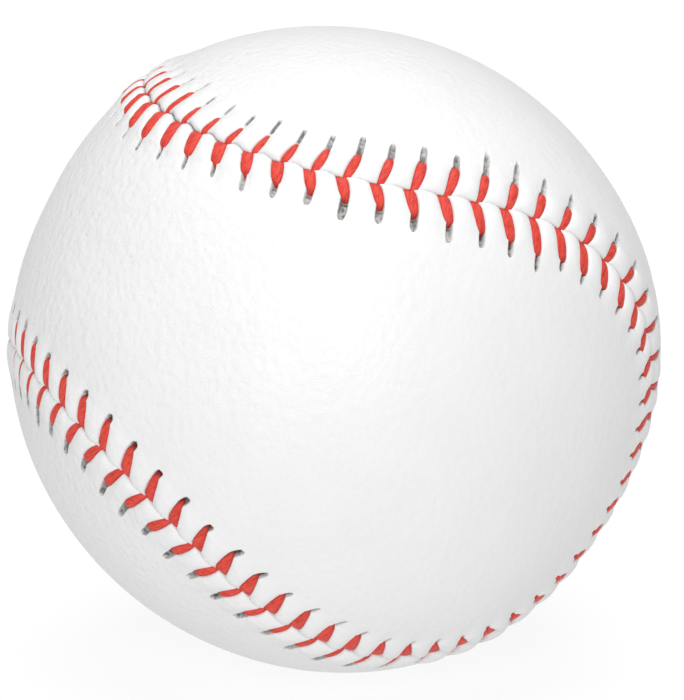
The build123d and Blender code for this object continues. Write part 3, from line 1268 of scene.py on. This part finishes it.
@dataclass
class LacingStrand(SoftPiece):
    """One strand of thread: a flat leg over the leather, a dive at the seam, a run under it."""

    seam: Seam
    plan: StitchPlan
    first: Side
    steps: int = 6
    sides: int = 12
    ply_turn_mm: float = 11.0
    ply_share: float = 0.02

    # Over the leather: shares of the way from the seam to the hole, and depths under the leather around
    over: Knots = ((0.90, 0.22), (0.66, 0.14), (0.40, 0.14), (0.18, 0.18))
    # The section's thickness at the route's ten points for one stitch
    heights: tuple[float, ...] = (0.56, 0.62, 0.66, 0.72, 0.72, 0.66, 0.58, 0.46, 0.42, 0.44)
    # How much painted shade lies on the thread at those points, most where it goes down into its hole and
    # dives at the seam
    shades: tuple[float, ...] = (1.0, 0.8, 0.15, 0.0, 0.0, 0.0, 0.1, 0.5, 0.0, 0.0)
    under_width: float = 0.80
    # Up through the hole: distances past it, and heights over the plain ball
    hole_rise: Knots = ((-0.10, -0.80), (0.02, -0.20))
    # At the seam: a lead from the stitch's start, a place across, and a height over the leather there
    dip: Triple = (-0.03, 0.06, -0.42)
    dip_lift_share: float = 0.5
    # Past the seam: the same, but with the height over the plain ball
    dive: Triple = (-0.45, -0.50, -0.55)
    # Under the leather: shares of the way to the next hole along the seam and, on its far side, across
    # it, and heights over the plain ball
    under: tuple[Triple, ...] = ((0.55, -0.55, -0.86), (0.86, -0.83, -0.90))

    def stitch_route(self, step: int) -> np.ndarray:
        """The route of one stitch, from its hole to the run that leads to the next.

        Args:
            step: How many stitches the strand has made before this one.

        Returns:
            Ten rows of place along the seam, place across it, height, width, thickness and painted shade.
        """
        side = self.first if step % 2 == 0 else self.first.facing
        stitch = -step % self.seam.stitches
        before = (stitch - 1) % self.seam.stitches
        row = side.row
        hole = self.plan.holes[row][stitch]
        lead = self.plan.leads[row][stitch]
        start = self.plan.starts[row][stitch]
        next_lead = self.plan.leads[side.facing.row][before] - self.seam.pitch
        next_hole = self.plan.holes[side.facing.row][before]
        lift = self.plan.lifts[row][stitch]
        leg = [
            (
                self.plan.leg_lead(side, share * hole, stitch), share * hole,
                float(self.plan.ground(side, share * hole, stitch)) + lift - depth,
            )
            for share, depth in self.over
        ]
        edge = float(self.plan.ground(side, 0.0, stitch)) + self.dip_lift_share * lift
        points = [
            *[(lead, hole + past, height) for past, height in self.hole_rise],
            *leg,
            (start + self.dip[0], self.dip[1], edge + self.dip[2]),
            (start + self.dive[0], self.dive[1], self.dive[2]),
            *[
                (start + on * (next_lead - start), over * next_hole, height)
                for on, over, height in self.under
            ],
        ]
        route = np.array(points)
        route[:, 0] -= step * self.seam.pitch
        route[:, 1] *= side.value
        shares = [1.0, 1.0, *[share for share, _ in self.over], 0.0]
        wide = [float(self.plan.leg_width(side, share, stitch)) for share in shares]
        wide += [0.5 * (wide[-1] + self.under_width), self.under_width, self.under_width]
        shade = self.plan.pit_shades[row][stitch] * np.array(self.shades)
        return np.column_stack([route, wide, self.heights, shade])

    def route(self) -> np.ndarray:
        """Draws the whole strand's route as a smooth curve through its stitches' points.

        Returns:
            The same six columns as for a stitch, in finer steps.
        """
        knots = np.concatenate([self.stitch_route(step) for step in range(self.seam.stitches)])
        ends = np.concatenate([2 * knots[:1] - knots[1:2], knots, 2 * knots[-1:] - knots[-2:-1]])
        before, start, end, after = ends[:-3], ends[1:-2], ends[2:-1], ends[3:]
        parts = []
        for step in range(self.steps):
            t = step / self.steps
            bend = (2 * before - 5 * start + 4 * end - after) * t ** 2
            twist = (3 * start - before - 3 * end + after) * t ** 3
            parts.append(0.5 * (2 * start + (end - before) * t + bend + twist))
        return np.concatenate([np.stack(parts, axis=1).reshape(-1, 6), knots[-1:]])

    def build(self) -> bpy.types.Object:
        """Builds the strand as one unbroken flattened tube of twisted plies.

        Returns:
            The strand's object.
        """
        route = self.route()
        spots = self.seam.place(route[:, 0], route[:, 1], route[:, 2])
        ahead = unit(np.gradient(spots, axis=0))
        _, onward, _ = self.seam.axes(route[:, 0] / self.seam.pitch)
        wide = unit(onward - ahead * (onward * ahead).sum(1, keepdims=True))
        shade = np.repeat(np.clip(route[:, 5:6], 0.0, 1.0), self.sides, axis=1)
        draft = MeshDraft()
        length = draft.tube(
            spots, wide, np.cross(ahead, wide), (route[:, 3:4] / 2, route[:, 4:5] / 2), self.sides,
            self.ply_turn_mm, self.ply_share, shade=shade,
        )
        LOG.info("%s is %.0f mm long", self.node, length)
        return draft.finish(self.node + "_thread")


@dataclass
class YarnWinding(SoftPiece):
    """One layer of yarn, wound round what it covers in turns that cross each other."""

    inside: float
    outside: float
    yarn: float
    turns: int
    drift: tuple[int, int]
    steps: int = 72
    sides: int = 6
    rings: int = 48
    ply_turn_mm: float = 6.0
    # In widths of the yarn: how deep its middle lies in its first turn, and how far it rises to its last
    sink: float = 1.1
    sink_rise: float = 0.6

    def ball_row(self, draft: MeshDraft, radius: float) -> None:
        """Adds a closed ball of the layers that lie under the outermost turns.

        Args:
            draft: The mesh that it is added to.
            radius: The ball's radius.
        """
        rise = np.linspace(-math.pi / 2, math.pi / 2, self.rings + 1)[1:-1][:, None]
        turn = np.linspace(0.0, 2 * math.pi, 2 * self.rings, endpoint=False)[None, :]
        up = np.broadcast_to(np.sin(rise), (self.rings - 1, 2 * self.rings))
        spots = np.stack([np.cos(rise) * np.cos(turn), np.cos(rise) * np.sin(turn), up], axis=-1) * radius
        grid = draft.row(spots, lay=spots)
        for low, high in zip(grid, grid[1:]):
            draft.band(low, high)
        for row, height in ((grid[0], -radius), (grid[-1], radius)):
            pole = np.array([[0.0, 0.0, height]])
            draft.fan(draft.row(pole, lay=pole)[0], np.append(row, row[0]))

    def build(self) -> bpy.types.Object:
        """Builds the layer: a hollow ball, and the yarn's last turns lying over it.

        Returns:
            The layer's object.
        """
        draft = MeshDraft()
        self.ball_row(draft, self.inside)
        self.ball_row(draft, self.outside - self.sink * self.yarn)
        count = self.turns * self.steps + 1
        share = np.linspace(0.0, 1.0, count)
        turn = 2 * math.pi * self.turns * share
        about_z, about_y = [2 * math.pi * drift * share for drift in self.drift]
        flat = np.stack([np.cos(turn), np.sin(turn), np.zeros(count)], axis=1)
        tipped = np.stack([
            flat[:, 0] * np.cos(about_y), flat[:, 1], -flat[:, 0] * np.sin(about_y),
        ], axis=1)
        outward = np.stack([
            tipped[:, 0] * np.cos(about_z) - tipped[:, 1] * np.sin(about_z),
            tipped[:, 0] * np.sin(about_z) + tipped[:, 1] * np.cos(about_z),
            tipped[:, 2],
        ], axis=1)
        lift = self.outside - self.yarn * (self.sink - self.sink_rise * share)
        spots = outward * lift[:, None]
        ahead = unit(np.gradient(spots, axis=0))
        beside = unit(np.cross(ahead, outward))
        half = self.yarn / 2
        draft.tube(spots, beside, np.cross(beside, ahead), (half, half), self.sides, self.ply_turn_mm)
        return draft.finish(self.node + "_yarn")


@dataclass
class CushionedCentre:
    """The cork, rubber shells and gasket, whose CAD shapes are right and only take a finish."""

    finishes: dict[str, GranularFinish]

    def dress(self) -> None:
        """Gives each CAD node of the centre its finish."""
        made = {finish.name: finish.make() for finish in self.finishes.values()}
        for node, finish in self.finishes.items():
            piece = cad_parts[node]
            piece.data.materials.clear()
            piece.data.materials.append(made[finish.name])
            LOG.info("%s keeps its CAD shape", node)


@dataclass
class Studio:
    """The plain pale floor, the soft light and the camera."""

    elevation: float = 15.0
    distance: float = 1113.0
    lens: float = 505.8
    sensor: float = 36.0
    aim_right: float = 0.89
    aim_down: float = 0.25
    surround: float = 0.465
    clip_start: float = 0.01
    clip_end: float = 50.0
    # White acrylic lit from behind: an even pale sheet that takes only a faint shade and no gloss
    floor_name: str = "backlit_white_acrylic"
    floor_colour: str = "#6a6a6a"
    floor_roughness: float = 0.9
    floor_glow: float = 0.85
    floor_half_size: float = 6.0
    white: str = "#ffffff"
    # Each lamp's name, its place and its size in metres, and its power in watts
    lamps: tuple[tuple[str, Triple, float, float], ...] = (
        ("key_softbox", (-0.13, -1.50, 0.56), 0.9, 17.2),
        ("top_softbox", (0.05, 0.05, 1.2), 1.0, 12.6),
    )

    def floor(self) -> None:
        """Lays the floor at the dressed ball's lowest point."""
        size = self.floor_half_size
        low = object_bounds()[0][2]
        corners = [(-size, -size, low), (size, -size, low), (size, size, low), (-size, size, low)]
        mesh = bpy.data.meshes.new("floor")
        mesh.from_pydata(corners, [], [(0, 1, 2, 3)])
        material, tree = new_material(self.floor_name)
        shader = add_node(tree, "ShaderNodeBsdfPrincipled", {
            "Base Color": linear(self.floor_colour), "Roughness": self.floor_roughness,
            "Specular IOR Level": 0.0,
            "Emission Color": linear(self.white), "Emission Strength": self.floor_glow,
        })
        add_node(tree, "ShaderNodeOutputMaterial", {"Surface": shader.outputs["BSDF"]})
        mesh.materials.append(material)
        add_object("floor", mesh)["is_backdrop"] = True

    def light(self) -> None:
        """Lights the ball from all round, with a soft key from above the camera."""
        world = bpy.data.worlds.new("studio_surround")
        bpy.context.scene.world = world
        world.use_nodes = True
        tree = world.node_tree
        tree.nodes.clear()
        back = add_node(tree, "ShaderNodeBackground", {
            "Color": linear(self.white), "Strength": self.surround,
        })
        add_node(tree, "ShaderNodeOutputWorld", {"Surface": back.outputs["Background"]})
        for name, place, size, power in self.lamps:
            lamp = bpy.data.lights.new(name, "AREA")
            lamp.size = size
            lamp.energy = power
            holder = add_object(name, lamp)
            holder.location = place
            holder.rotation_euler = (-Vector(place)).to_track_quat("-Z", "Y").to_euler()

    def camera(self) -> None:
        """Sets the camera at the photo's viewing angle, a long lens from about a metre off."""
        tilt = math.radians(self.elevation)
        right = Vector((1.0, 0.0, 0.0))
        up = Vector((0.0, math.sin(tilt), math.cos(tilt)))
        back = Vector((0.0, -math.cos(tilt), math.sin(tilt)))
        aim = right * self.aim_right - up * self.aim_down
        data = bpy.data.cameras.new("photo_camera")
        data.lens = self.lens
        data.sensor_width = self.sensor
        data.sensor_fit = "HORIZONTAL"
        data.clip_start = self.clip_start
        data.clip_end = self.clip_end
        camera = add_object("photo_camera", data)
        camera.location = (aim + back * self.distance) * MM
        camera.rotation_euler = (math.radians(90.0) - tilt, 0.0, 0.0)
        bpy.context.scene.camera = camera

    def build(self) -> None:
        """Sets up floor, light, camera and how tones are shown."""
        self.floor()
        self.light()
        self.camera()
        bpy.context.scene.view_settings.view_transform = "Standard"


# Wool spun in thick plies: soft and quite matte, with a fuzz that catches the light at its edges
GREY_WOOL = YarnFinish("spun_grey_wool_yarn", "#b9b6b1", "#6f6c69")
WHITE_WOOL = YarnFinish("spun_white_wool_yarn", "#efebe2", "#b9b3a6")
# Polyester and cotton spun fine: smoother and paler than the wool, with shallower fibres
FINISH_YARN = YarnFinish(
    "spun_polyester_cotton_yarn", "#f3f1ea", "#c9c6bc", ior=1.55, roughness=0.8, streak_mm=1.5,
    fibre_depth_mm=0.05,
)
# Cork grains pressed with a binder: light and dark brown specks on a rough, matte face
CORK = GranularFinish(
    "pressed_composition_cork", "#c79a66", "#6b4526", grain_mm=1.6, roughness=0.85, ior=1.35, relief_mm=0.15,
)
# Rubber moulded under heat: a nearly even colour and a dull skin. Its grain is finer than the render
# shows, so it is drawn coarser.
BLACK_RUBBER = GranularFinish(
    "moulded_black_rubber", "#262626", "#141414", grain_mm=0.35, roughness=0.6, ior=1.52, relief_mm=0.02,
)
RED_RUBBER = GranularFinish(
    "moulded_red_rubber", "#a5322b", "#7d211c", grain_mm=0.35, roughness=0.55, ior=1.52, relief_mm=0.02,
)


def main() -> None:
    """Builds and dresses every sub-assembly in order, from the centre out."""
    logging.basicConfig(level=logging.INFO, format="%(name)s: %(message)s")
    centre = CushionedCentre({
        "cork_core": CORK,
        "black_rubber_lower": BLACK_RUBBER,
        "black_rubber_upper": BLACK_RUBBER,
        "rubber_gasket": RED_RUBBER,
        "red_rubber_cover": RED_RUBBER,
    })
    centre.dress()
    grey = GREY_WOOL.make()
    # Each layer's node and slot, its inside and outside radius, its yarn's width, how many turns show, and
    # how often these swing round about the ball's upright axis and about a level one
    windings = (
        (YarnWinding("first_winding", "grey_wool", 16.75, 31.05, 1.9, 60, (13, 8)), grey),
        (YarnWinding("second_winding", "white_wool", 31.1, 32.85, 1.2, 90, (17, 11)), WHITE_WOOL.make()),
        (YarnWinding("third_winding", "grey_wool", 32.9, 35.1, 1.3, 90, (19, 12)), grey),
        (
            YarnWinding("finish_winding", "finishing_yarn", 35.15, 35.7, 0.45, 200, (37, 23)),
            FINISH_YARN.make(),
        ),
    )
    for winding, finish in windings:
        winding.dress(winding.build(), finish)
    seam = Seam()
    plan = StitchPlan(seam)
    leather = LeatherFinish().make()
    for side, node in ((Side.OUTER, "cover_panel_a"), (Side.CENTRAL, "cover_panel_b")):
        panel = LeatherPanel(node, "white_leather", seam, plan, side)
        panel.dress(panel.build(), leather)
    thread = ThreadFinish().make()
    for side, node in ((Side.OUTER, "lacing_strand_a"), (Side.CENTRAL, "lacing_strand_b")):
        strand = LacingStrand(node, "red_thread", seam, plan, side)
        strand.dress(strand.build(), thread)
    Studio().build()


if __name__ == "__main__":
    main()
